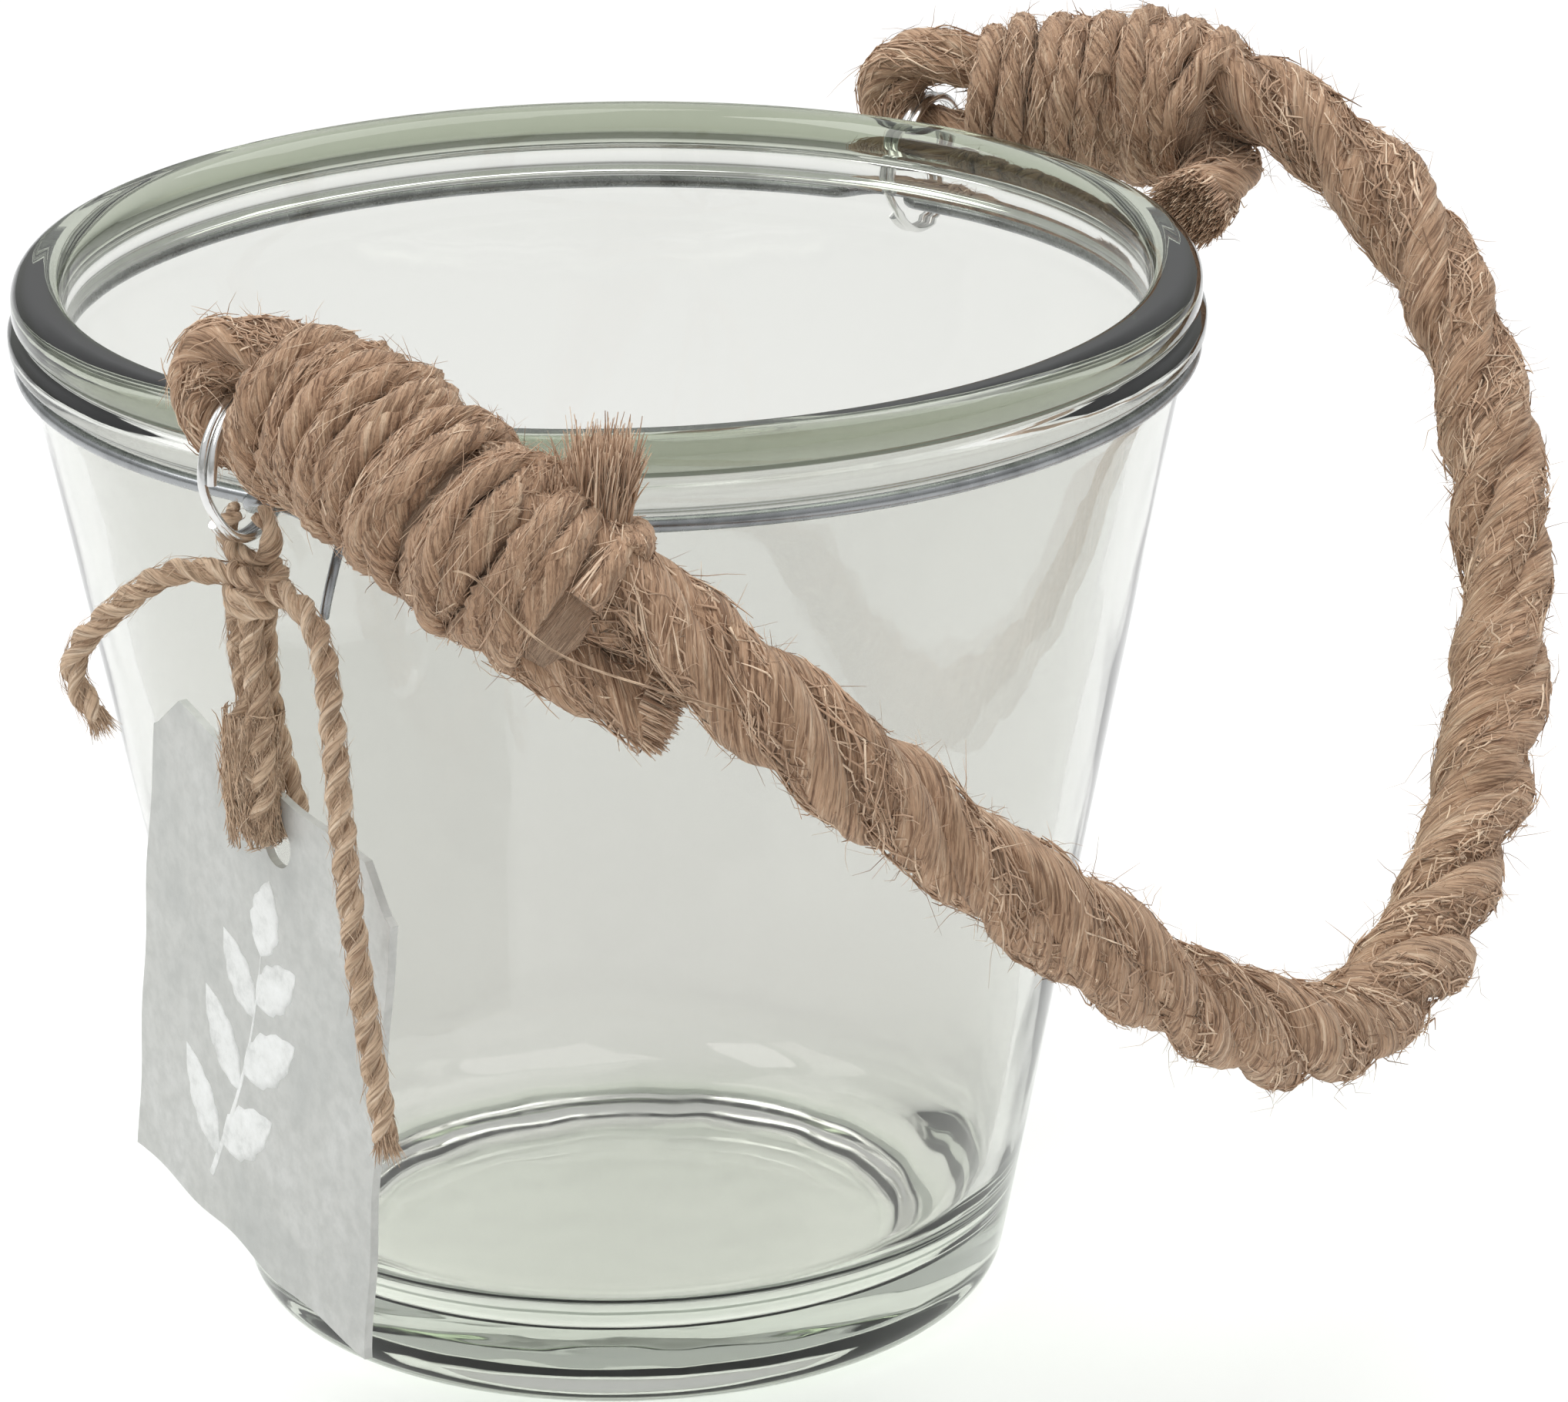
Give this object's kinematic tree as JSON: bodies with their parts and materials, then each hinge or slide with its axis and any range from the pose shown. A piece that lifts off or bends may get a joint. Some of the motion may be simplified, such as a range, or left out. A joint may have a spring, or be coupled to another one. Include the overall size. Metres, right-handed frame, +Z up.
{
  "type": "mason jar lantern",
  "caption": "Tapered clear glass jar lantern with a neck wire, hooked split rings, a bound jute rope handle and a zinc tag on twine.",
  "frame": {"origin": "centre of the jar's foot, on the plane it stands on", "axes": "+Z up along the jar's axis; -Y towards the hook and ring that carry the tag; +X towards the side the handle lies on at rest"},
  "size_m": [0.1382, 0.1572, 0.1128],
  "materials": {
    "jar_glass": "clear, faintly green, thick edges darker green",
    "neck_steel": "drawn steel wire, satin",
    "ring_steel": "nickel-plated split ring",
    "jute_rope": "laid jute, hairy",
    "jute_yarn": "wound jute yarn, hairy",
    "jute_twine": "thin twisted twine",
    "zinc_sheet": "mottled galvanised sheet with a pale stencilled sprig"
  },
  "bodies": {
    "jar": {"glass_jar": "jar_glass", "neck_wire": "neck_steel"},
    "handle": {"handle_rope": "jute_rope", "front_whipping": "jute_yarn", "rear_whipping": "jute_yarn"},
    "front_ring": {"front_ring": "ring_steel"},
    "rear_ring": {"rear_ring": "ring_steel"},
    "tag_twine": {"tag_twine": "jute_twine"},
    "tag": {"tag_plate": "zinc_sheet"}
  },
  "joints": [
    {"name": "handle_swing", "type": "hinge", "parent": "jar", "child": "handle", "pos_m": [0, -0.062, 0.1045], "axis": [0, -0.999, 0.0436], "range_deg": [-8, 195]},
    {"name": "front_ring_swing", "type": "hinge", "parent": "jar", "child": "front_ring", "pos_m": [0, -0.0594, 0.0942], "axis": [1, 0, 0], "range_deg": [-4, 5]},
    {"name": "rear_ring_swing", "type": "hinge", "parent": "jar", "child": "rear_ring", "pos_m": [0, 0.0594, 0.092], "axis": [-1, 0, 0], "range_deg": [-6, 6]},
    {"name": "tag_swing", "type": "hinge", "parent": "front_ring", "child": "tag_twine", "pos_m": [0, -0.062, 0.0919], "axis": [0, -1, 0], "range_deg": [-15, 15]},
    {"name": "tag_tilt", "type": "hinge", "parent": "tag_twine", "child": "tag", "pos_m": [0.0024, -0.0626, 0.06555], "axis": [-0.4695, -0.8829, 0], "range_deg": [-6, 6]}
  ]
}
